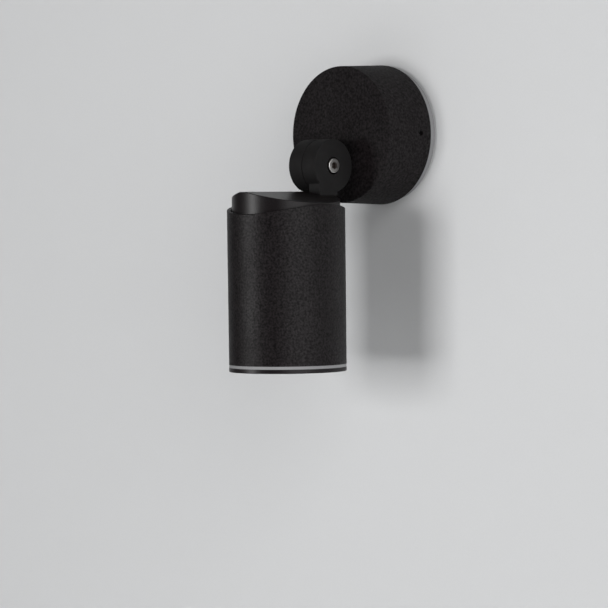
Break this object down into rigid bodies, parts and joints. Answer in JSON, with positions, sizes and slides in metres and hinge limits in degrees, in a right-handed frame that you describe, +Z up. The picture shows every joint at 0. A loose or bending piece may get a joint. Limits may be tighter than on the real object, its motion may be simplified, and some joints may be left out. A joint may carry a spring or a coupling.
{
  "type": "pivoting spotlight wall light",
  "caption": "Wall spotlight: round rose with grey gasket, half-lap friction knuckle, cylindrical lamp head with roofed inner body, scooped outer sleeve and screw-in glass bezel",
  "frame": {"origin": "Centre of the rose on the wall: the middle of the bracket's back face, in the wall plane.", "axes": "+Y points into the wall and the light stands out towards -Y. +Z is up and is the longest extent. +X is to the right for someone who faces the wall."},
  "size_m": [0.0824, 0.118, 0.1778],
  "materials": {
    "black_powder_coat": "fine-textured black powder coat on cast aluminium",
    "black_satin": "smooth satin black paint on aluminium",
    "grey_rubber": "matt mid-grey silicone",
    "black_rubber": "matt black rubber",
    "zinc_steel": "zinc-plated steel",
    "stainless_steel": "plain stainless steel",
    "brass": "plain brass",
    "block_plastic": "off-white moulded plastic",
    "white_plastic": "hard natural-white plastic",
    "ceramic": "unglazed ceramic",
    "lamp_glass": "pressed glass with a reflective inside",
    "clear_glass": "clear toughened glass"
  },
  "bodies": {
    "wall_base": {"wall_gasket": "grey_rubber", "wall_bracket": "zinc_steel", "cable_grommet": "black_rubber", "earth_screw": "brass", "terminal_block": "block_plastic", "terminal_tubes": "brass", "terminal_screws": "zinc_steel", "block_screw": "zinc_steel", "rose_cover": "black_powder_coat", "rose_grub_screws": "stainless_steel", "rear_knuckle": "black_satin", "rear_stub_seal": "black_rubber", "rear_stub_washer": "zinc_steel", "rear_stub_nut": "zinc_steel", "knuckle_seal": "black_rubber", "friction_washer": "white_plastic", "pivot_screw": "stainless_steel", "spring_washer": "stainless_steel", "pivot_nut": "stainless_steel"},
    "head": {"front_knuckle": "black_satin", "front_stub_washer": "zinc_steel", "front_stub_nut": "zinc_steel", "head_body": "black_satin", "outer_sleeve": "black_powder_coat", "lampholder_strap": "zinc_steel", "strap_screws": "zinc_steel", "lampholder": "ceramic", "lampholder_screws": "zinc_steel", "lamp_shell": "lamp_glass", "lamp_lens": "clear_glass", "lamp_pins": "stainless_steel"},
    "bezel_carrier": {"bezel_ring": "grey_rubber"},
    "bezel": {"front_bezel": "black_satin", "glass_seal": "black_rubber", "front_glass": "clear_glass", "glass_clip": "stainless_steel"}
  },
  "joints": [
    {"name": "tilt", "type": "hinge", "parent": "wall_base", "child": "head", "pos_m": [0, -0.0556, -0.0184], "axis": [-1, 0, 0], "range_deg": [-15, 90]},
    {"name": "bezel_out", "type": "slide", "parent": "head", "child": "bezel_carrier", "axis": [0, 0, -1], "range_m": [0, 0.006]},
    {"name": "bezel_turn", "type": "hinge", "parent": "bezel_carrier", "child": "bezel", "pos_m": [0, -0.0839, -0.1366], "axis": [0, 0, -1], "range_deg": [0, 1440]}
  ],
  "couplings": [
    {"joint": "bezel_out", "follows": "bezel_turn", "m_per_rad": 0.00023873}
  ]
}
